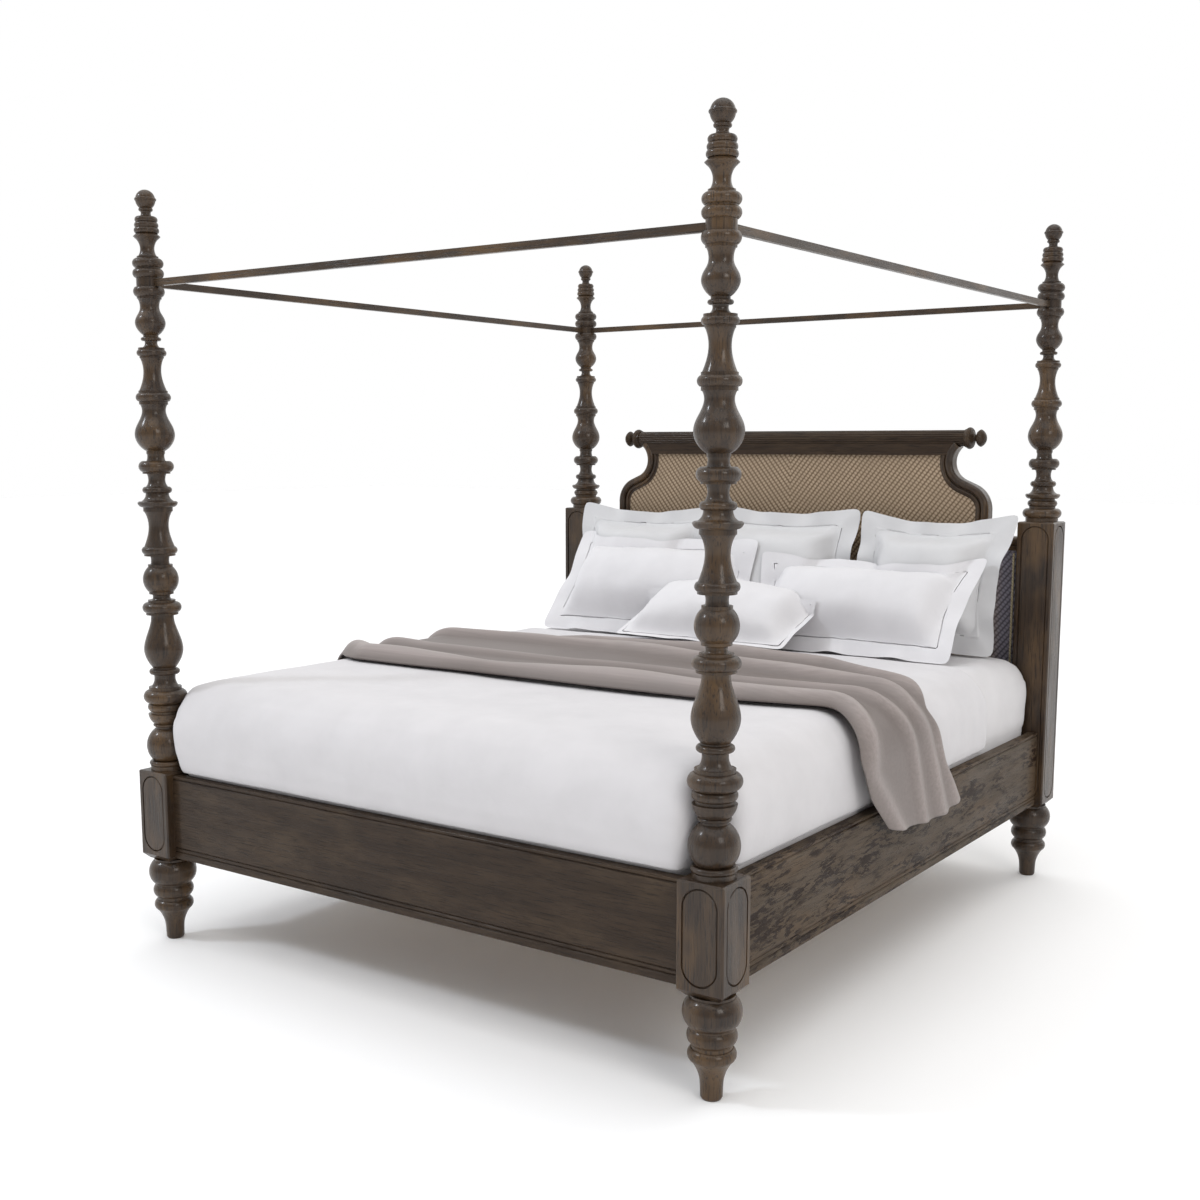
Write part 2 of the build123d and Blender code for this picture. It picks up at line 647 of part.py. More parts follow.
def build():
    front_dowel = rod(DOWEL_RADIUS, FRONT_TURNING_DOWEL_BOTTOM, TURNING_DOWEL_TOP)
    rear_dowel = rod(DOWEL_RADIUS, REAR_TURNING_DOWEL_BOTTOM, TURNING_DOWEL_TOP)
    parts = {
        "foot_rail": foot_rail(),
        "head_rail": head_rail(),
        "slats": slats(),
        "canopy_pins": four(rod(PIN_RADIUS, PIN_BOTTOM, PIN_TOP)),
        "foot_dowels": four(rod(DOWEL_RADIUS, FOOT_DOWEL_BOTTOM, FOOT_DOWEL_TOP)),
        "block_dowels": pair(rod(DOWEL_RADIUS, BLOCK_DOWEL_BOTTOM, BLOCK_DOWEL_TOP), -1),
        "front_turning_dowels": pair(front_dowel, -1),
        "rear_turning_dowels": pair(rear_dowel, 1),
        "headboard_roll": headboard_roll(),
        "headboard_band": headboard_band(),
        "headboard_core": headboard_board(CORE_FRONT, CORE_BACK),
        "headboard_weave": headboard_board(WEAVE_FRONT, CORE_FRONT),
        "mattress": mattress(),
        "coverlet": coverlet(),
        "throw": throw(),
        "sham_left": pillow(SHAM_SIZE, SHAM_LEAN, SHAM_X[0], SHAM_Y),
        "sham_middle": pillow(SHAM_SIZE, SHAM_LEAN, SHAM_X[1], SHAM_Y),
        "sham_right": pillow(SHAM_SIZE, SHAM_LEAN, SHAM_X[2], SHAM_Y),
        "king_pillow_left": pillow(KING_SIZE, KING_LEAN, KING_X[0], KING_Y),
        "king_pillow_right": pillow(KING_SIZE, KING_LEAN, KING_X[1], KING_Y),
        "lumbar_pillow": pillow(LUMBAR_SIZE, LUMBAR_LEAN, LUMBAR_X, LUMBAR_Y),
    }
    drum_sockets = [canopy_rail_across(end) for end in (-1, 1)]
    drum_sockets += [canopy_rail_along(side) for side in (-1, 1)]
    for side, side_name in ((-1, "left"), (1, "right")):
        parts[f"side_rail_{side_name}"] = side_rail(side)
        parts[f"ledger_{side_name}"] = ledger(side)
        parts[f"headboard_frame_{side_name}"] = headboard_frame(side)
        parts[f"roll_end_{side_name}"] = roll_end(side)
        parts[f"edge_cord_{side_name}"] = edge_cord(side)
        parts[f"canopy_rail_{side_name}"] = canopy_rail_along(side)
        parts[f"lower_turning_{side_name}"] = post_position(side, -1) * lower_turning()
        parts[f"rear_base_{side_name}"] = post_position(side, 1) * rear_base_turning()
        for end, end_name in ((-1, "front"), (1, "rear")):
            corner = f"{end_name}_{side_name}"
            spot = post_position(side, end)
            parts[f"foot_{corner}"] = spot * foot()
            parts[f"block_{corner}"] = block(side, end)
            parts[f"upper_turning_{corner}"] = spot * upper_turning()
            parts[f"finial_{corner}"] = spot * finial()
            collar = spot * canopy_collar()
            for socket in drum_sockets:
                collar -= socket
            parts[f"collar_{corner}"] = collar
    parts["canopy_rail_front"] = canopy_rail_across(-1)
    parts["canopy_rail_rear"] = canopy_rail_across(1)
    return parts


def main():
    os.makedirs("parts", exist_ok=True)
    for node, shape in build().items():
        export_step(shape, f"parts/{node}.step")


if __name__ == "__main__":
    main()
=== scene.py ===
"""Looks of the miniature four poster bed: timber finishes, woven headboard and soft bedding.

Metres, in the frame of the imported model: +Z up, +Y towards the headboard, -X the bed's left.
"""
import math

import bmesh
import bpy
import numpy as np
from mathutils import Matrix, Vector, noise
from mathutils.bvhtree import BVHTree


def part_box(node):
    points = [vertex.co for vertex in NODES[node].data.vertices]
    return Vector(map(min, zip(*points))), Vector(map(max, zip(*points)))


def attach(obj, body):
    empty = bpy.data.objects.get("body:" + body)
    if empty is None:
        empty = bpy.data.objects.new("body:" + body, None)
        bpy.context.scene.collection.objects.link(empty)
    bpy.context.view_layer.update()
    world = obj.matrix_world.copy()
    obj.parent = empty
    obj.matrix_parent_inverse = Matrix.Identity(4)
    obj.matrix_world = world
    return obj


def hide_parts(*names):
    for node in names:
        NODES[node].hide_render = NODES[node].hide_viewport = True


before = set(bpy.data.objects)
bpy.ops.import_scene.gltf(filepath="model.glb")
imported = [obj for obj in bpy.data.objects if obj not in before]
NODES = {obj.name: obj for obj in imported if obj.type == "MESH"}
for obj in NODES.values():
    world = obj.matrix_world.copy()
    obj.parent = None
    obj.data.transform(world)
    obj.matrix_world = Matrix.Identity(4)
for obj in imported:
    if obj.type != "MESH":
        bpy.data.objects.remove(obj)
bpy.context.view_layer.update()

MM = 0.001
CLOTH_SCALE = 12.0                          # cloth is simulated at full furniture size and scaled back
CLOTH_FRAMES = 26
SEAM_FADE = 5.5 * MM                        # a cushion thins out towards its seam over this distance
BORDER_STEPS = 4                            # rings of faces in a pillow's sewn border
CORNER_TURN = 3                             # edge points over which that border turns round a corner

RAIL_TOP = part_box("side_rail_left")[1][2]
MATTRESS_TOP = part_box("mattress")[1][2]
COVER_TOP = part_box("coverlet")[1][2]
COVER_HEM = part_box("coverlet")[1][1]        # y of the free hem by the pillows


# ---------------------------------------------------------------- materials

class Nodes:
    """Short-hand for building one node material."""

    def __init__(self, name):
        self.material = bpy.data.materials.new(name)
        self.material.use_nodes = True
        self.tree = self.material.node_tree
        self.shader = self.tree.nodes["Principled BSDF"]

    def add(self, kind, **values):
        node = self.tree.nodes.new(kind)
        for key, value in values.items():
            setattr(node, key, value)
        return node

    def link(self, source, target):
        self.tree.links.new(source, target)

    def coords(self, scale=(1, 1, 1), rotate=(0, 0, 0)):
        """Object coordinates, scaled so that one unit is 1/scale metres."""
        place = self.add("ShaderNodeTexCoord")
        mapping = self.add("ShaderNodeMapping")
        mapping.inputs["Scale"].default_value = scale
        mapping.inputs["Rotation"].default_value = rotate
        self.link(place.outputs["Object"], mapping.inputs["Vector"])
        return mapping.outputs["Vector"]

    def noise(self, vector, scale=1.0, detail=4.0, rough=0.55, distort=0.0):
        node = self.add("ShaderNodeTexNoise")
        node.inputs["Scale"].default_value = scale
        node.inputs["Detail"].default_value = detail
        node.inputs["Roughness"].default_value = rough
        node.inputs["Distortion"].default_value = distort
        self.link(vector, node.inputs["Vector"])
        return node.outputs["Fac"]

    def ramp(self, value, *stops):
        """stops are (position, colour or grey)."""
        node = self.add("ShaderNodeValToRGB")
        ramp = node.color_ramp
        while len(ramp.elements) < len(stops):
            ramp.elements.new(0.5)
        for element, (position, colour) in zip(ramp.elements, stops):
            element.position = position
            if isinstance(colour, (int, float)):
                colour = (colour, colour, colour)
            element.color = (*colour, 1)
        self.link(value, node.inputs["Fac"])
        return node.outputs["Color"]

    def mix(self, a, b, factor, mode="MIX"):
        node = self.add("ShaderNodeMix", data_type="RGBA", blend_type=mode)
        for socket, value in ((node.inputs[6], a), (node.inputs[7], b), (node.inputs[0], factor)):
            if isinstance(value, (int, float)):
                socket.default_value = value
            elif isinstance(value, tuple):
                socket.default_value = (*value, 1)
            else:
                self.link(value, socket)
        return node.outputs[2]

    def math(self, operation, a, b=0.0, clamp=False):
        node = self.add("ShaderNodeMath", operation=operation, use_clamp=clamp)
        for socket, value in zip(node.inputs, (a, b)):
            if isinstance(value, (int, float)):
                socket.default_value = value
            else:
                self.link(value, socket)
        return node.outputs[0]

    def bump(self, height, distance, strength=1.0, normal=None):
        node = self.add("ShaderNodeBump")
        node.inputs["Distance"].default_value = distance
        node.inputs["Strength"].default_value = strength
        self.link(height, node.inputs["Height"])
        if normal:
            self.link(normal, node.inputs["Normal"])
        return node.outputs["Normal"]

    def finish(self, colour, roughness, normal=None, **constants):
        for name, value in (("Base Color", colour), ("Roughness", roughness), ("Normal", normal)):
            if value is None:
                continue
            socket = self.shader.inputs[name]
            if isinstance(value, (int, float)):
                socket.default_value = value
            elif isinstance(value, tuple):
                socket.default_value = (*value, 1)
            else:
                self.link(value, socket)
        for name, value in constants.items():
            self.shader.inputs[name.replace("_", " ")].default_value = value
        return self.material


def stretched(across, along, axis):
    """Mapping scale for a pattern drawn out along one axis."""
    return tuple(along if name == axis else across for name in "xyz")


# Stains and wear colours of the timber
ESPRESSO = (0.022, 0.0125, 0.0070)
ESPRESSO_LIGHT = (0.060, 0.036, 0.019)
GOLD_BROWN = (0.120, 0.068, 0.028)
CANOPY_DARK = (0.030, 0.019, 0.012)
CANOPY_LIGHT = (0.055, 0.036, 0.022)
DISTRESS = (0.020, 0.0105, 0.0060)


def timber(name, axis, dark, light, gold=GOLD_BROWN, distress=0.0, roughness=(0.3, 0.5), gloss=0.28):
    """Stained open-pored timber whose grain runs along one axis, with dark distress marks if asked."""
    n = Nodes(name)
    figure = n.noise(n.coords(stretched(420, 30, axis)), detail=5, distort=0.6)
    cloud = n.noise(n.coords(stretched(110, 45, axis)), detail=3)
    pores = n.noise(n.coords(stretched(3000, 150, axis)), detail=3, rough=0.6)
    base = n.ramp(figure, (0.3, dark), (0.75, light))
    base = n.mix(base, gold, n.ramp(cloud, (0.47, 0.0), (0.68, 0.7)))
    pore = n.ramp(pores, (0.34, 1.0), (0.48, 0.0))
    base = n.mix(base, tuple(0.45 * c for c in dark), n.math("MULTIPLY", pore, 0.75))
    wear = n.noise(n.coords(stretched(260, 60, axis)), detail=4)
    rough = n.ramp(wear, (0.3, roughness[0]), (0.7, roughness[1]))
    height = n.math("SUBTRACT", n.math("MULTIPLY", figure, 0.5), pore)
    if distress:
        spots = n.noise(n.coords(stretched(1000, 240, axis)), detail=5, rough=0.66, distort=0.1)
        patches = n.noise(n.coords(stretched(240, 60, axis)), detail=4)
        marks = n.ramp(spots, (0.48, 0.0), (0.53, 1.0))
        mask = n.math("MULTIPLY", marks, n.ramp(patches, (0.44, 0.05), (0.54, 1.0)))
        mask = n.math("MULTIPLY", mask, distress)
        base = n.mix(base, DISTRESS, mask)
        height = n.math("SUBTRACT", height, mask)
    normal = n.bump(height, 0.00006, 0.8)
    return n.finish(base, rough, normal, Coat_Weight=gloss, Coat_Roughness=0.14, Specular_IOR_Level=gloss)


def weave_material():
    """Cords laid aslant in a V, each a row of stitches, light on their rounded middles and darkened towards
    the gaps between stitches and cords as painted shade.
    """
    n = Nodes("woven_cord")
    place = n.add("ShaderNodeTexCoord")
    split = n.add("ShaderNodeSeparateXYZ")
    n.link(place.outputs["Object"], split.inputs[0])
    x = n.math("ABSOLUTE", split.outputs["X"])
    z = split.outputs["Z"]
    slope = math.radians(51)
    pitch = 0.00136
    stitch = 0.0010
    stagger = 0.37
    fall, run = math.cos(slope), math.sin(slope)
    across = n.math("SUBTRACT", n.math("MULTIPLY", z, fall), n.math("MULTIPLY", x, run))
    along = n.math("ADD", n.math("MULTIPLY", z, run), n.math("MULTIPLY", x, fall))
    row = n.math("DIVIDE", across, pitch)
    step = n.math("DIVIDE", along, stitch)
    step = n.math("ADD", step, n.math("MULTIPLY", n.math("FLOOR", row), stagger))
    rounded = []
    for count in (row, step):
        wave = n.math("MULTIPLY", n.math("PINGPONG", count, 0.5), 2.0)
        arch = n.math("SINE", n.math("MULTIPLY", wave, math.pi / 2))
        rounded.append(n.math("POWER", arch, 0.7))
    cord, bead = rounded
    shade = n.math("MULTIPLY", cord, n.math("ADD", n.math("MULTIPLY", bead, 0.65), 0.35))
    # straw colour, darkened towards the gaps between cords and stitches as painted shade
    straw_and_gap_shade = ((0.05, (0.085, 0.055, 0.033)), (0.4, (0.225, 0.158, 0.100)), (0.9, (0.46, 0.355, 0.248)))
    # painted shade for the panel's outer sides, in blue-grey
    side_shade_stops = ((0.1, (0.075, 0.068, 0.082)), (0.9, (0.29, 0.272, 0.325)))
    tint = n.noise(n.coords((160, 160, 160)), detail=3)
    colour = n.mix(n.ramp(shade, *straw_and_gap_shade), (0.24, 0.18, 0.12), n.ramp(tint, (0.4, 0.0), (0.75, 0.35)))
    # Painted shade, tinted blue-grey as a painted reflection, on the panel's outer sides below the
    # headboard's shoulders.
    side_shade_from, side_shade_top = 0.066, 0.106
    side = n.math("DIVIDE", n.math("SUBTRACT", x, side_shade_from), 0.006, clamp=True)
    low = n.math("DIVIDE", n.math("SUBTRACT", side_shade_top, z), 0.008, clamp=True)
    colour = n.mix(colour, n.ramp(shade, *side_shade_stops), n.math("MULTIPLY", side, low))
    return n.finish(colour, 0.62, n.bump(shade, 0.00013, 0.7), Specular_IOR_Level=0.2)


def cotton(name, colour, crumple):
    """Plain white weave with faint creasing; crumple is the creases' height."""
    thread_waves = 5200 / 6.0           # the wave texture's scale: 2.8 threads to the millimetre
    n = Nodes(name)
    vector = n.coords((1, 1, 1))
    wave_a = n.add("ShaderNodeTexWave", wave_type="BANDS", bands_direction="X")
    wave_b = n.add("ShaderNodeTexWave", wave_type="BANDS", bands_direction="Z")
    for wave in (wave_a, wave_b):
        wave.inputs["Scale"].default_value = thread_waves
        wave.inputs["Distortion"].default_value = 1.0
        n.link(vector, wave.inputs["Vector"])
    threads = n.math("MULTIPLY", n.math("ADD", wave_a.outputs["Fac"], wave_b.outputs["Fac"]), 0.5)
    creases = n.noise(n.coords((260, 260, 260)), detail=5, rough=0.6, distort=0.8)
    tone = n.noise(n.coords((90, 90, 90)), detail=3)
    base = n.mix(colour, tuple(0.93 * c for c in colour), n.ramp(tone, (0.35, 0.0), (0.7, 0.8)))
    normal = n.bump(threads, 0.000012, 0.25)
    normal = n.bump(creases, crumple, 0.6, normal)
    return n.finish(base, 0.85, normal, Sheen_Weight=0.15, Sheen_Roughness=0.5, Specular_IOR_Level=0.25)


def satin_throw():
    """Streaked satin, with painted shade in the throw's valleys and a painted highlight on its crests."""
    n = Nodes("satin_throw")
    streak = n.noise(n.coords((35, 1100, 1100)), detail=4, rough=0.6)
    cloud = n.noise(n.coords((60, 60, 60)), detail=3)
    base = n.ramp(streak, (0.3, (0.262, 0.224, 0.210)), (0.7, (0.335, 0.288, 0.272)))
    base = n.mix(base, (0.25, 0.225, 0.215), n.ramp(cloud, (0.4, 0.0), (0.75, 0.5)))
    painted_fold_light = n.add("ShaderNodeAttribute", attribute_name="painted_fold_light").outputs["Fac"]
    # painted shade: darker in the valleys between the rolls
    base = n.mix(base, (0.130, 0.108, 0.098), n.ramp(painted_fold_light, (0.0, 0.75), (0.75, 0.0)))
    # painted highlight: paler on the crests and where the throw hangs
    base = n.mix(base, (0.42, 0.375, 0.36), n.ramp(painted_fold_light, (0.75, 0.0), (1.0, 0.35)))
    normal = n.bump(streak, 0.00003, 0.35)
    return n.finish(base, 0.5, normal, Specular_IOR_Level=0.35)


def gold_cord():
    n = Nodes("golden_trim")
    twist = n.add("ShaderNodeTexWave", wave_type="BANDS", bands_direction="DIAGONAL")
    twist.inputs["Scale"].default_value = 700
    n.link(n.coords((1, 1, 1)), twist.inputs["Vector"])
    fibre = n.noise(n.coords((4000, 4000, 900)), detail=2)
    base = n.ramp(twist.outputs["Fac"], (0.2, (0.45, 0.36, 0.20)), (0.8, (0.85, 0.76, 0.52)))
    base = n.mix(base, (0.75, 0.66, 0.46), n.ramp(fibre, (0.5, 0.0), (0.8, 0.6)))
    return n.finish(base, 0.5, n.bump(twist.outputs["Fac"], 0.00006, 0.6), Sheen_Weight=0.2)


def pale_timber():
    n = Nodes("pale_timber")
    figure = n.noise(n.coords(stretched(500, 30, "x")), detail=5, distort=0.8)
    base = n.ramp(figure, (0.3, (0.42, 0.29, 0.17)), (0.7, (0.58, 0.43, 0.27)))
    return n.finish(base, 0.6, n.bump(figure, 0.00005, 0.5))


def brass():
    n = Nodes("pin_brass")
    lines = n.noise(n.coords(stretched(900, 6000, "z")), detail=3)
    base = n.ramp(lines, (0.3, (0.62, 0.45, 0.2)), (0.7, (0.75, 0.58, 0.3)))
    return n.finish(base, n.ramp(lines, (0.3, 0.3), (0.7, 0.45)), n.bump(lines, 0.00001, 0.4), Metallic=1.0)


def paint(names, material):
    for name in names:
        slots = NODES[name].material_slots
        if not slots:
            NODES[name].data.materials.append(material)
        for slot in slots:
            slot.link = "OBJECT"
            slot.material = material


UPRIGHT = (
    "foot_front", "foot_rear", "block_front", "block_rear", "lower_", "rear_base", "upper_",
    "collar_", "finial_", "headboard_frame",
)
ACROSS = ("foot_rail", "head_rail", "headboard_roll", "headboard_band", "headboard_core", "roll_end_")
PLAIN = ("slats", "ledger_", "foot_dowels", "block_dowels", "front_turning_dowels", "rear_turning_dowels")


def paint_frame():
    across = timber(
        "espresso_across", "x", (0.026, 0.0155, 0.009), (0.052, 0.033, 0.020), (0.066, 0.043, 0.025),
        distress=0.25, roughness=(0.34, 0.55), gloss=0.14,
    )
    along = timber(
        "espresso_distressed", "y", (0.060, 0.042, 0.027), (0.098, 0.071, 0.048), (0.105, 0.070, 0.042),
        distress=1.0, roughness=(0.35, 0.55), gloss=0.07,
    )
    canopy_x = timber("espresso_canopy_x", "x", CANOPY_DARK, CANOPY_LIGHT)
    canopy_y = timber("espresso_canopy_y", "y", CANOPY_DARK, CANOPY_LIGHT)
    finishes = (
        (UPRIGHT, timber("espresso_upright", "z", ESPRESSO, ESPRESSO_LIGHT)),
        (ACROSS, across),
        (("side_rail_",), along),
        (("canopy_rail_front", "canopy_rail_rear"), canopy_x),
        (("canopy_rail_left", "canopy_rail_right"), canopy_y),
        (PLAIN, pale_timber()),
        (("canopy_pins",), brass()),
        (("headboard_weave",), weave_material()),
    )
    for starts, material in finishes:
        paint([name for name in NODES if name.startswith(starts)], material)


# ---------------------------------------------------------------- mesh helpers

def new_object(name, vertices, faces, material):
    mesh = bpy.data.meshes.new(name)
    mesh.from_pydata([tuple(v) for v in vertices], [], [tuple(f) for f in faces])
    mesh.validate()
    mesh.update()
    mesh.materials.append(material)
    for polygon in mesh.polygons:
        polygon.use_smooth = True
    piece = bpy.data.objects.new(name, mesh)
    bpy.context.scene.collection.objects.link(piece)
    return piece


def baked(piece):
    """Apply all modifiers of a piece."""
    graph = bpy.context.evaluated_depsgraph_get()
    mesh = bpy.data.meshes.new_from_object(piece.evaluated_get(graph))
    old = piece.data
    name = old.name
    piece.modifiers.clear()
    piece.data = mesh
    bpy.data.meshes.remove(old)
    mesh.name = name
    for polygon in mesh.polygons:
        polygon.use_smooth = True
    return piece


def copy_of(node, name, material):
    mesh = NODES[node].data.copy()
    mesh.materials.clear()
    mesh.materials.append(material)
    piece = bpy.data.objects.new(name, mesh)
    bpy.context.scene.collection.objects.link(piece)
    return piece


def remeshed(piece, voxel, smooth_steps):
    modifier = piece.modifiers.new("remesh", "REMESH")
    modifier.mode = "VOXEL"
    modifier.voxel_size = voxel
    modifier = piece.modifiers.new("smooth", "SMOOTH")
    modifier.iterations = smooth_steps
    modifier.factor = 0.5
    return baked(piece)


def points_of(piece):
    values = np.empty(len(piece.data.vertices) * 3)
    piece.data.vertices.foreach_get("co", values)
    return values.reshape(-1, 3)


def set_points(piece, points):
    piece.data.vertices.foreach_set("co", np.asarray(points, dtype=float).ravel())
    piece.data.update()


def normals_of(piece):
    values = np.empty(len(piece.data.vertices) * 3)
    piece.data.vertex_normals.foreach_get("vector", values)
    return values.reshape(-1, 3)


def smooth_noise(points, scale, seed):
    """Soft noise from -1 to 1 at each point; scale is its wavelength in metres, one per axis."""
    offset = Vector((seed * 7.31, seed * 3.17, seed * 5.53))
    scaled = points / np.array(scale)
    return np.array([noise.noise(Vector(p) + offset) for p in scaled])


def ramp_up(values, start, run):
    """0 below start, 1 once run further on."""
    return np.clip((values - start) / run, 0, 1)


def add_thickness(piece, thickness, offset):
    modifier = piece.modifiers.new("thickness", "SOLIDIFY")
    modifier.thickness = thickness
    modifier.offset = offset
    return baked(piece)


def subdivided(piece, levels=1):
    modifier = piece.modifiers.new("subdivide", "SUBSURF")
    modifier.levels = levels
    modifier.render_levels = levels
    return baked(piece)


# ---------------------------------------------------------------- mattress and coverlet

def make_mattress(material):
    """The mattress in its sheet, softly puckered."""
    piece = remeshed(copy_of("mattress", "mattress_in_sheet", material), 1.5 * MM, 6)
    points = points_of(piece)
    normals = normals_of(piece)
    x, y, z = points.T
    dents = smooth_noise(points, (0.018, 0.018, 0.012), 1) * 0.35
    dents = dents + smooth_noise(points, (0.006, 0.006, 0.006), 2) * 0.12
    free = ramp_up(z, RAIL_TOP + 1.7 * MM, 6 * MM)
    bare = ramp_up(y, COVER_HEM - 4 * MM, 6 * MM)
    under = ramp_up(-z, 11.6 * MM - MATTRESS_TOP, 10 * MM) ** 2 * ramp_up(z, RAIL_TOP - 1.8 * MM, 3 * MM)
    crown = ramp_up(z, MATTRESS_TOP - 6.6 * MM, 5 * MM)
    shoulder = crown * ramp_up(abs(x), 70 * MM, 8 * MM)
    push = (dents - 0.25 - 0.40 * bare * (1 - crown) + 0.55 * shoulder * bare) * free - 1.2 * under * bare
    points = points + normals * (push * MM)[:, None]
    set_points(piece, points)
    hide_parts("mattress")
    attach(piece, "mattress")
    return piece


def make_coverlet(material):
    """White cover tucked in at the foot, with a free hem across the bed near the pillows."""
    piece = remeshed(copy_of("mattress", "coverlet_cloth", material), 1.5 * MM, 6)
    mesh = bmesh.new()
    mesh.from_mesh(piece.data)
    hem_cut = (0, COVER_HEM - 0.2 * MM, 0)
    rail_cut = (0, 0, RAIL_TOP + 1.4 * MM)
    for place, direction in ((hem_cut, (0, 1, 0)), (rail_cut, (0, 0, -1))):
        everything = mesh.verts[:] + mesh.edges[:] + mesh.faces[:]
        bmesh.ops.bisect_plane(mesh, geom=everything, plane_co=place, plane_no=direction, clear_outer=True)
    mesh.to_mesh(piece.data)
    mesh.free()
    piece = subdivided(piece)
    points = points_of(piece)
    normals = normals_of(piece)
    x, y, z = points.T
    top = ramp_up(z, COVER_TOP - 4.3 * MM, 4 * MM)
    broad = smooth_noise(points, (0.030, 0.022, 0.02), 3) * 0.30
    puckers = smooth_noise(points, (0.010, 0.004, 0.006), 4) * 0.10
    puckers = puckers + smooth_noise(points, (0.0045, 0.0035, 0.0045), 5) * 0.06
    side_folds = smooth_noise(points, (0.012, 0.012, 0.05), 6) * 0.22 * (1 - top)
    # the cover bulges over the rail towards the foot
    bulge = np.exp(-((z - 0.058) / 0.009) ** 2) * ramp_up(-y, 55 * MM, 30 * MM)
    height = 0.6 + broad + puckers + side_folds + 1.2 * bulge * (1 - top)
    free = ramp_up(z, RAIL_TOP + 1.4 * MM, 5 * MM)
    points = points + normals * (np.clip(height, 0.12, 2.2) * MM * (0.4 + 0.6 * free))[:, None]
    set_points(piece, points)
    add_thickness(piece, 0.35 * MM, 1.0)
    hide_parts("coverlet")
    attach(piece, "mattress")
    return piece


# ---------------------------------------------------------------- throw

THROW_REST = COVER_TOP + 0.7 * MM           # height of the flat cloth
THROW_HALF_TOP = 74.7 * MM                  # flat from the middle to where it turns down
THROW_TURN = 12.2 * MM                      # radius of that turn
THROW_END = 111.2 * MM                      # from the middle to each hem, along the cloth
COLUMNS, ROWS = 230, 130                    # faces of the throw, along and across


def throw_point(along):
    """Place on the folded throw. along is the distance from the middle of the bed over the top and
    down the sides. Gives x, drop and the outward direction."""
    arc = THROW_TURN * math.pi / 2
    side = math.copysign(1, along)
    distance = abs(along)
    if distance < THROW_HALF_TOP:
        x, z, nx, nz = distance, 0.0, 0.0, 1.0
    elif distance < THROW_HALF_TOP + arc:
        turn = (distance - THROW_HALF_TOP) / THROW_TURN
        x = THROW_HALF_TOP + THROW_TURN * math.sin(turn)
        z = -THROW_TURN + THROW_TURN * math.cos(turn)
        nx, nz = math.sin(turn), math.cos(turn)
    else:
        x = THROW_HALF_TOP + THROW_TURN
        z = -THROW_TURN - (distance - THROW_HALF_TOP - arc)
        nx, nz = 1.0, 0.0
    return side * x, z, side * nx, nz


def lerp_table(value, table):
    xs, ys = zip(*table)
    return float(np.interp(value, xs, ys))


# Front and rear edge of the throw (y) against distance from the middle line, left to right
THROW_FRONT = (
    (-0.112, -0.026), (-0.09, -0.028), (-0.080, -0.033), (-0.073, -0.0385), (-0.066, -0.0412),
    (0.045, -0.0405), (0.078, -0.0325), (0.092, -0.0375), (0.102, -0.0335), (0.112, -0.0240),
)
THROW_REAR = (
    (-0.112, 0.014), (-0.09, 0.014), (-0.06, 0.022), (0.0, 0.0285), (0.02, 0.0300),
    (0.045, 0.0265), (0.067, 0.0180), (0.086, 0.0035), (0.100, 0.0085), (0.112, 0.0185),
)

# Soft rolls of the throw: (line along the roll as above, height in mm, half width in mm)
FRONT_ROLL = (
    (-0.112, -0.020), (-0.09, -0.022), (-0.078, -0.028), (-0.066, -0.0362),
    (0.045, -0.0360), (0.078, -0.0285), (0.095, -0.0330), (0.112, -0.0190),
)
SECOND_ROLL = (
    (-0.112, -0.010), (-0.06, -0.016), (0.0, -0.013), (0.05, -0.0165), (0.08, -0.0160), (0.112, -0.0060),
)
THIRD_ROLL = (
    (-0.112, 0.008), (-0.06, 0.0135), (-0.02, 0.0145), (0.02, 0.008),
    (0.06, -0.0005), (0.085, -0.0045), (0.112, 0.0055),
)
REAR_ROLL = (
    (-0.06, 0.014), (-0.02, 0.0225), (0.02, 0.0265), (0.05, 0.0215),
    (0.076, 0.0065), (0.095, 0.0045), (0.112, 0.0145),
)
THROW_ROLLS = ((FRONT_ROLL, 3.1, 4.6), (SECOND_ROLL, 2.0, 3.8), (THIRD_ROLL, 2.7, 4.2), (REAR_ROLL, 2.8, 4.0))


def rolls_at(along, hang):
    """Middle (y), height and half width of each roll at one place along; hang is 1 where it hangs."""
    rolls = []
    for path, height, half in THROW_ROLLS:
        middle = lerp_table(along, path)
        start = path[0][0]
        faded = min(max((along - start) / 0.03, 0), 1) if start > -0.1 else 1.0
        wave = noise.noise(Vector((along * 26, height * 9, 0.7)))
        lay = height * faded * (1 + 0.35 * wave) * (1 - 0.50 * hang)
        rolls.append((middle + 0.0012 * wave, lay, half * (1 - 0.15 * hang)))
    return rolls


def roll_height(y, rolls):
    """Height in mm of the highest roll at y, blended softly where rolls meet. Each is steeper in front."""
    total = 0.0
    for middle, rise, half in rolls:
        offset = (y - middle) / (half * MM)
        offset *= 1.35 if offset < 0 else 0.95
        total += (rise * math.exp(-offset * offset)) ** 4
    return total ** 0.25


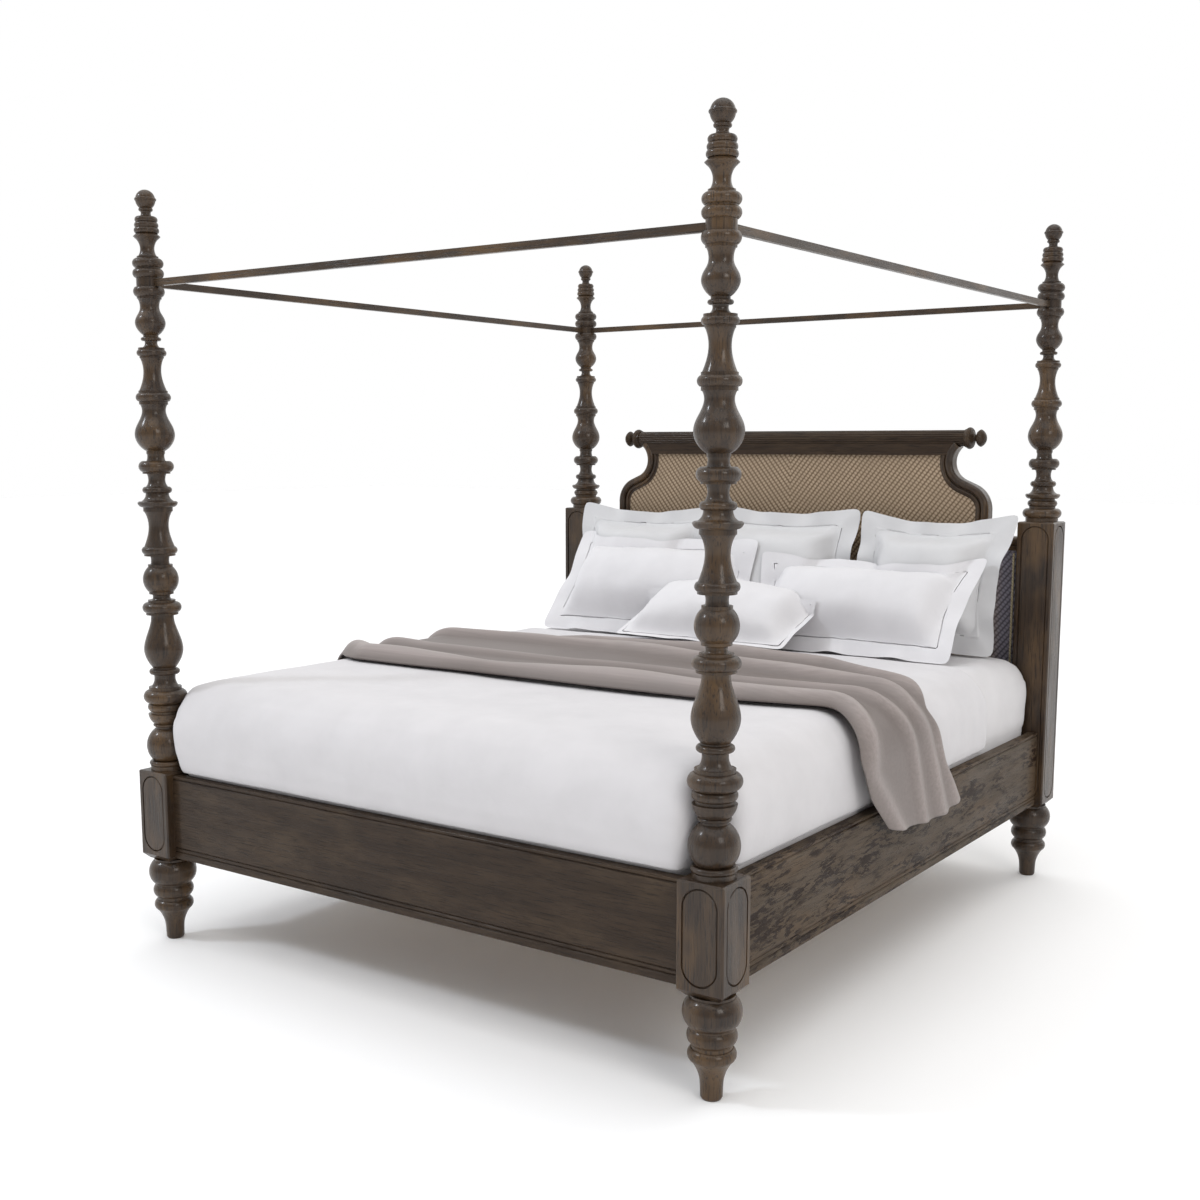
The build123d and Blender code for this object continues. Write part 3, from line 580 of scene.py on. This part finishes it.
def make_throw(material):
    """Satin blanket in long soft rolls, pleated where it hangs outside the side rails."""
    vertices = []
    folds = []
    for i in range(COLUMNS + 1):
        along = -THROW_END + 2 * THROW_END * i / COLUMNS
        x, z, nx, nz = throw_point(along)
        front = lerp_table(along, THROW_FRONT)
        rear = lerp_table(along, THROW_REAR)
        hang = min(max((abs(along) - 0.080) / 0.014, 0), 1)
        rolls = rolls_at(along, hang)
        for j in range(ROWS + 1):
            across = j / ROWS
            y = front + (rear - front) * across
            height = roll_height(y, rolls)
            broad = noise.noise(Vector((along * 22, y * 45, 3.1))) * 0.35
            broad += noise.noise(Vector((along * 60, y * 160, 5.1))) * 0.12
            edge = min(across, 1 - across) * abs(rear - front) / MM
            rounded = math.sqrt(max(1 - (1 - min(edge / 2.4, 1)) ** 2, 0))
            lift = (0.45 + (max(height + broad, 0.1) + 0.5) * rounded) * MM
            # height of the rolls at each point, kept for the material's painted shade in the valleys and
            # painted highlight on the crests and hanging sides
            folds.append(min(max((height * rounded - 0.5 + 0.9 * hang) / 2.4, 0), 1))
            flare = 0.0016 * max(abs(along) - 0.092, 0) / 0.02
            px = x + nx * (lift + flare)
            pz = THROW_REST + z + nz * lift
            hem = 0.0007 * math.sin(6 * across + 1) + 0.0016 * (2 * across - 1) ** 6
            pz += (hem - 0.0010) * max(abs(along) - 0.094, 0) / 0.017
            vertices.append((px, y, pz))
    faces = []
    for i in range(COLUMNS):
        for j in range(ROWS):
            a = i * (ROWS + 1) + j
            faces.append((a, a + ROWS + 1, a + ROWS + 2, a + 1))
    piece = new_object("throw_blanket", vertices, faces, material)
    # the rolls' height as a mask for the painted shade and painted highlight
    piece.data.attributes.new("painted_fold_light", "FLOAT", "POINT").data.foreach_set("value", folds)
    ease = piece.modifiers.new("ease", "SMOOTH")
    ease.factor = 0.5
    ease.iterations = 8
    baked(piece)
    add_thickness(piece, 0.5 * MM, -1.0)
    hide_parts("throw")
    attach(piece, "throw")
    return piece


# ---------------------------------------------------------------- pillows

def inflated_cushion(name, width, height, pressure, seed, material):
    """Two square sheets sewn round the edge and blown up by Blender's cloth, lying in the XY plane."""
    columns = 30
    rows = max(int(columns * height / width), 12)
    vertices, faces = [], []

    def grid_index(i, j, back):
        if i in (0, columns) or j in (0, rows) or not back:
            return i * (rows + 1) + j
        return (columns + 1) * (rows + 1) + (i - 1) * (rows - 1) + (j - 1)

    for back in (False, True):
        for i in range(columns + 1):
            for j in range(rows + 1):
                border = i in (0, columns) or j in (0, rows)
                if back and border:
                    continue
                x = width * (i / columns - 0.5)
                y = height * (j / rows - 0.5)
                crown = math.sin(math.pi * i / columns) * math.sin(math.pi * j / rows)
                z = (-1 if back else 1) * 0.04 * height * crown ** 0.5 if not border else 0.0
                z += 0.004 * height * noise.noise(Vector((x * 40, y * 40, seed)))
                vertices.append((x * CLOTH_SCALE, y * CLOTH_SCALE, z * CLOTH_SCALE))
    for i in range(columns):
        for j in range(rows):
            corners = ((i, j), (i + 1, j), (i + 1, j + 1), (i, j + 1))
            turned = (corners[0], corners[3], corners[2], corners[1])
            faces.append([grid_index(a, b, False) for a, b in corners])
            faces.append([grid_index(a, b, True) for a, b in turned])
    piece = new_object(name, vertices, faces, material)
    bottom = [grid_index(i, 0, False) for i in range(columns + 1)]
    right = [grid_index(columns, j, False) for j in range(rows + 1)]
    top = [grid_index(i, rows, False) for i in range(columns, -1, -1)]
    left = [grid_index(0, j, False) for j in range(rows, -1, -1)]
    border = bottom[:-1] + right[:-1] + top[:-1] + left[:-1]
    sides = {(1, -1): bottom, (0, 1): right, (1, 1): top, (0, -1): left}
    cloth = piece.modifiers.new("cloth", "CLOTH")
    settings = cloth.settings
    settings.quality = 6
    settings.mass = 0.3
    settings.tension_stiffness = 18
    settings.compression_stiffness = 18
    settings.shear_stiffness = 6
    settings.bending_stiffness = 0.4
    settings.use_pressure = True
    settings.uniform_pressure_force = pressure
    settings.air_damping = 4
    settings.effector_weights.gravity = 0
    cloth.collision_settings.use_collision = False
    cloth.collision_settings.use_self_collision = False
    scene = bpy.context.scene
    scene.frame_set(1)
    for step in range(1, CLOTH_FRAMES + 1):
        scene.frame_set(step)
    baked(piece)
    scene.frame_set(1)
    set_points(piece, points_of(piece) / CLOTH_SCALE)
    return piece, border, sides


def fitted(points, sides, width, height, hollow):
    """Stretch the blown-up cushion back to its cut outline, a little hollow along each side, and
    let the stuffing die away softly towards the seam. hollow is (left, right, top and bottom)."""
    result = points.copy()
    inside = np.full(len(points), 1.0)
    for (axis, side), border in sides.items():
        other = 1 - axis
        size = (width, height)[axis]
        share_hollow = hollow[2] if axis == 1 else hollow[(side + 1) // 2]
        edge = points[border]
        edge = edge[np.argsort(edge[:, other])]
        limit = np.interp(points[:, other], edge[:, other], abs(edge[:, axis]))
        share = np.clip(abs(points[:, other]) / abs(edge[:, other]).max(), 0, 1)
        target = size / 2 * (1 - share_hollow * (1 - share ** 2))
        here = points[:, axis] * side > 0
        result[here, axis] = (points[:, axis] * target / limit)[here]
        from_edge = target - abs(result[:, axis])
        inside = np.where(here, np.minimum(inside, from_edge), inside)
    soft = np.clip(inside / SEAM_FADE, 0, 1)
    result[:, 2] *= soft * soft * (3 - 2 * soft)
    return result


def outward(border, sides):
    """Direction, as (x, y), in which the sewn border grows from each point of the cushion's edge:
    straight out from a side, turning towards each corner over the last points."""
    growth = {point: [0.0, 0.0] for point in border}
    for (axis, side), line in sides.items():
        for point in line:
            growth[point][axis] = float(side)
    for (axis, side), line in sides.items():
        other = 1 - axis
        for step in range(1, CORNER_TURN):
            share = (CORNER_TURN - step) / CORNER_TURN
            growth[line[step]][other] = growth[line[0]][other] * share
            growth[line[-1 - step]][other] = growth[line[-1]][other] * share
    return [growth[point] for point in border]


def press(front, rear, gap=0.0008):
    """Squash the back of one pillow against the one that it leans on."""
    tree = BVHTree.FromObject(rear, bpy.context.evaluated_depsgraph_get())
    points = points_of(front)
    for i, (x, y, z) in enumerate(points):
        hit = tree.ray_cast(Vector((x, -0.2, z)), Vector((0, 1, 0)))[0]
        if hit is not None and y > hit.y - gap:
            points[i, 1] = hit.y - gap - 0.02 * max(y - hit.y, 0)
    set_points(front, points)


def sew_border(core, border, sides, flange, seed, faces):
    """Points of a cushion with a rippled flat border all round; the border's faces are added to faces."""
    vertices = [tuple(v) for v in core]
    sideways = outward(border, sides)
    count = len(border)
    previous = border
    for step in range(1, BORDER_STEPS + 1):
        share = step / BORDER_STEPS
        reach = flange * MM * share
        ring = []
        for k, point in enumerate(border):
            x, y, z = core[point]
            angle = 2 * math.pi * k / count
            ripple = math.sin(9 * angle + seed) + 0.6 * math.sin(17 * angle + 2 * seed)
            ripple += 0.8 * noise.noise(Vector((angle * 3, seed, 0)))
            wave = ripple * 0.55 * MM * share * (flange / 4)
            ring.append(len(vertices))
            vertices.append((x + reach * sideways[k][0], y + reach * sideways[k][1], z + wave))
        for k in range(count):
            after = (k + 1) % count
            faces.append((previous[k], previous[after], ring[after], ring[k]))
        previous = ring
    return vertices


def make_pillow(
    name, node, material, seed, size, lean, centre, flange, slot, body,
    pressure=8, turn=0.0, sag=0.0, hollow=(0.04, 0.04, 0.04), splay=0.0,
):
    """A stuffed cushion with a flat sewn border all round, set leaning on the bed. Sizes are in mm:
    sag is how far the top edge drops in its middle, splay how far the upper right corner leans out."""
    width, height = size
    inner_width = (width - 2 * flange) * MM
    inner_height = (height - 2 * flange) * MM
    slack = 1.06
    piece, border, sides = inflated_cushion(
        name, inner_width * slack, inner_height * slack, pressure, seed, material)
    core = fitted(points_of(piece), sides, inner_width, inner_height, hollow)
    faces = [tuple(p.vertices) for p in piece.data.polygons]
    old = piece.data
    bpy.data.objects.remove(piece)
    bpy.data.meshes.remove(old)
    vertices = sew_border(core, border, sides, flange, seed, faces)
    piece = new_object(name, vertices, faces, material)
    ease = piece.modifiers.new("ease", "SMOOTH")
    ease.factor = 0.5
    ease.iterations = 2
    piece = subdivided(piece)
    points = points_of(piece)
    half_width, half_height = width * MM / 2, height * MM / 2
    x_share, y_share = abs(points[:, 0]) / half_width, abs(points[:, 1]) / half_height
    distance = np.maximum(x_share, y_share)
    wrinkle = smooth_noise(points, (0.007, 0.012, 0.01), seed + 1) * 0.45
    wrinkle = wrinkle + smooth_noise(points, (0.0035, 0.004, 0.004), seed + 2) * 0.14
    corner = np.clip(np.minimum(x_share, y_share) - 0.45, 0, 0.4)
    folds = np.sin((abs(points[:, 0]) - abs(points[:, 1])) / (1.5 * MM) + seed + 0.8 * wrinkle)
    wrinkle = wrinkle + folds * corner * 0.55
    normals = normals_of(piece)
    points = points + normals * (wrinkle * MM * np.clip(1.25 - distance, 0.15, 1))[:, None]
    # the top edge drops in the middle, and the cushion bends over slightly
    across = points[:, 0] / half_width
    up = points[:, 1] / half_height
    points[:, 1] -= sag * MM * np.clip(up, 0, 1) ** 2 * (1 - across ** 2)
    points[:, 2] -= 1.2 * MM * np.clip(up, 0, 1) ** 2
    points[:, 0] += splay * MM * up * np.clip(across, 0, 1)
    set_points(piece, points)
    tilt = Matrix.Rotation(math.radians(90 - lean), 4, "X")
    spin = Matrix.Rotation(math.radians(turn), 4, "Z")
    place = Matrix.Translation(Vector(centre) * MM) @ spin @ tilt
    piece.data.transform(place)
    points = points_of(piece)
    # it rests on the cover and, behind the cover's hem, on the sheet
    floor = np.interp(
        points[:, 1],
        (COVER_HEM - 0.5 * MM, COVER_HEM + 1.5 * MM),
        (COVER_TOP + 0.5 * MM, MATTRESS_TOP + 0.5 * MM),
    )
    lowest = points[:, 2].min()
    sink = np.clip(1 - (points[:, 2] - lowest) / (14 * MM), 0, 1)
    points[:, 2] += (MATTRESS_TOP + 0.2 * MM - lowest) * sink
    below = np.clip(floor - points[:, 2], 0, None)
    points[:, 1] -= below * 0.55
    points[:, 2] = np.where(below > 0, floor - 0.12 * np.minimum(below, MM), points[:, 2])
    set_points(piece, points)
    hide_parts(node)
    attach(piece, body)
    return piece


def make_pillows():
    crisp = cotton("sham_cotton", (0.655, 0.653, 0.66), 0.00008)
    plain = cotton("pillow_cotton", (0.735, 0.725, 0.74), 0.00008)
    sham = dict(material=crisp, flange=5.5, lean=14, slot="sham_cotton")
    king = dict(material=plain, flange=5, slot="pillow_cotton", body="king_pillows")
    sham_left = make_pillow(
        "sham_left_cushion", "sham_left", body="sham_left", seed=1, size=(54, 43),
        centre=(-50.6, 79.8, 89.4), sag=3.0, hollow=(0.06, 0.06, 0.05), **sham)
    sham_middle = make_pillow(
        "sham_middle_cushion", "sham_middle", body="sham_middle", seed=2, size=(52.4, 43),
        centre=(2.4, 80.0, 89.5), sag=2.0, hollow=(0.05, 0.06, 0.05), **sham)
    sham_right = make_pillow(
        "sham_right_cushion", "sham_right", body="sham_right", seed=3, size=(49.0, 43.0),
        centre=(53.3, 79.6, 89.3), sag=3.5, hollow=(0.05, 0.15, 0.05), splay=1.6, **sham)
    king_left = make_pillow(
        "king_left_cushion", "king_pillow_left", seed=4, size=(74, 40.5), lean=38,
        centre=(-36.8, 67.5, 84.4), sag=1.5, hollow=(0.05, 0.05, 0.04), **king)
    king_right = make_pillow(
        "king_right_cushion", "king_pillow_right", seed=5, size=(71.0, 38), lean=41,
        centre=(36.6, 66.0, 82.8), sag=3.0, hollow=(0.05, 0.06, 0.04), splay=1.0, **king)
    lumbar = make_pillow(
        "lumbar_cushion", "lumbar_pillow", plain, 6, (60, 34.5), 62, (-1.5, 52.0, 76.8), 1.5,
        "lumbar_cotton", "lumbar_pillow", pressure=7, turn=-2, sag=0.5, hollow=(0.02, 0.02, 0.02))
    for king in (king_left, king_right):
        for sham in (sham_left, sham_middle, sham_right):
            press(king, sham)
    for king in (king_left, king_right):
        press(lumbar, king)


# ---------------------------------------------------------------- trim

def make_edge_cords(material):
    """Two-ply twisted cord down each side of the woven panel."""
    for side in ("left", "right"):
        low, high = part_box(f"edge_cord_{side}")
        centre = [(a + b) / 2 for a, b in zip(low, high)]
        vertices, faces = [], []
        # drawn further in and forward than the solid, where it shows beside the rear block
        centre[0] -= math.copysign(1.4 * MM, centre[0])
        centre[1] -= 0.2 * MM
        strand = 0.22 * MM
        spread = 0.16 * MM
        twists = 27
        around = 8
        steps = 260
        for ply in (0, 1):
            first = len(vertices)
            for i in range(steps + 1):
                z = low[2] + (high[2] - low[2]) * i / steps
                angle = 2 * math.pi * i / steps * twists + ply * math.pi
                cx = centre[0] + spread * math.cos(angle)
                cy = centre[1] + spread * math.sin(angle)
                for k in range(around):
                    turn = 2 * math.pi * k / around
                    vertices.append((cx + strand * math.cos(turn), cy + strand * math.sin(turn), z))
            for i in range(steps):
                for k in range(around):
                    a = first + i * around + k
                    b = first + i * around + (k + 1) % around
                    faces.append((a, b, b + around, a + around))
            faces.append(tuple(first + k for k in reversed(range(around))))
            faces.append(tuple(first + steps * around + k for k in range(around)))
        piece = new_object(f"twisted_trim_{side}", vertices, faces, material)
        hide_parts(f"edge_cord_{side}")
        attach(piece, "bed_frame")


# ---------------------------------------------------------------- stage

def add_light(name, kind, power, colour):
    data = bpy.data.lights.new(name, kind)
    data.energy = power
    data.color = colour
    light = bpy.data.objects.new(name, data)
    bpy.context.scene.collection.objects.link(light)
    return light


def make_stage():
    """Pale floor, a studio that is white towards the headboard, three soft lights and a wide sky light."""
    floor_material = Nodes("pale_floor")
    cloud = floor_material.noise(floor_material.coords((3, 3, 3)), detail=2)
    colour = floor_material.ramp(cloud, (0.3, 0.94), (0.7, 0.95))
    floor_material.finish(colour, 0.9)
    size = 3.0
    floor = new_object(
        "floor",
        [(-size, -size, 0), (size, -size, 0), (size, size, 0), (-size, size, 0)],
        [(0, 1, 2, 3)],
        floor_material.material,
    )
    world = bpy.data.worlds.new("studio")
    bpy.context.scene.world = world
    world.use_nodes = True
    tree = world.node_tree
    background = tree.nodes["Background"]
    place = tree.nodes.new("ShaderNodeTexCoord")
    towards_head = tree.nodes.new("ShaderNodeVectorMath")
    towards_head.operation = "DOT_PRODUCT"
    towards_head.inputs[1].default_value = (-0.29, 0.41, 0.0)
    shift = tree.nodes.new("ShaderNodeMath")
    shift.inputs[1].default_value = 0.5
    ramp = tree.nodes.new("ShaderNodeValToRGB")
    dark, bright = ramp.color_ramp.elements
    dark.position, dark.color = 0.35, (0.42, 0.42, 0.43, 1)
    bright.position, bright.color = 0.72, (1.0, 1.0, 1.0, 1)
    tree.links.new(place.outputs["Generated"], towards_head.inputs[0])
    tree.links.new(towards_head.outputs["Value"], shift.inputs[0])
    tree.links.new(shift.outputs[0], ramp.inputs["Fac"])
    tree.links.new(ramp.outputs["Color"], background.inputs["Color"])
    background.inputs["Strength"].default_value = 1.0
    # name, place, side, power, colour
    lights = (
        ("key", (-0.60, -0.55, 0.70), 0.12, 2.4, (0.86, 0.92, 1.0)),
        ("fill", (0.75, -0.40, 0.50), 0.30, 1.5, (1.0, 0.97, 0.93)),
        ("back", (0.3, 0.85, 0.60), 0.6, 0.9, (1.0, 0.98, 0.95)),
    )
    for name, place, side, power, colour in lights:
        light = add_light(name, "AREA", power, colour)
        light.data.shape = "SQUARE"
        light.data.size = side
        light.location = place
        aim = Vector((0, 0, 0.08)) - Vector(place)
        light.rotation_euler = aim.to_track_quat("-Z", "Y").to_euler()
    sky = add_light("sky_light", "SUN", 1.25, (1.0, 0.995, 0.985))
    sky.data.angle = 1.2
    sky.rotation_euler = (math.radians(8), math.radians(6), 0)


def make_camera():
    data = bpy.data.cameras.new("camera")
    data.sensor_width = 36.0
    data.lens = 43.31
    data.shift_x = 0.00364
    data.shift_y = 0.03731
    data.clip_start = 0.01
    data.clip_end = 20
    camera = bpy.data.objects.new("camera", data)
    bpy.context.scene.collection.objects.link(camera)
    yaw = math.radians(35.382)
    pitch = math.radians(7.907)
    camera.location = (0.22186, -0.329362, 0.129288)
    camera.rotation_euler = (math.radians(90) - pitch, 0, yaw)
    bpy.context.scene.camera = camera


def main():
    paint_frame()
    sheet = cotton("white_sheet", (0.66, 0.645, 0.65), 0.00004)
    cover = cotton("white_coverlet", (0.64, 0.625, 0.635), 0.00014)
    make_mattress(sheet)
    make_coverlet(cover)
    make_throw(satin_throw())
    make_pillows()
    make_edge_cords(gold_cord())
    make_stage()
    make_camera()
    scene = bpy.context.scene
    scene.view_settings.view_transform = "Standard"
    scene.view_settings.look = "None"


main()
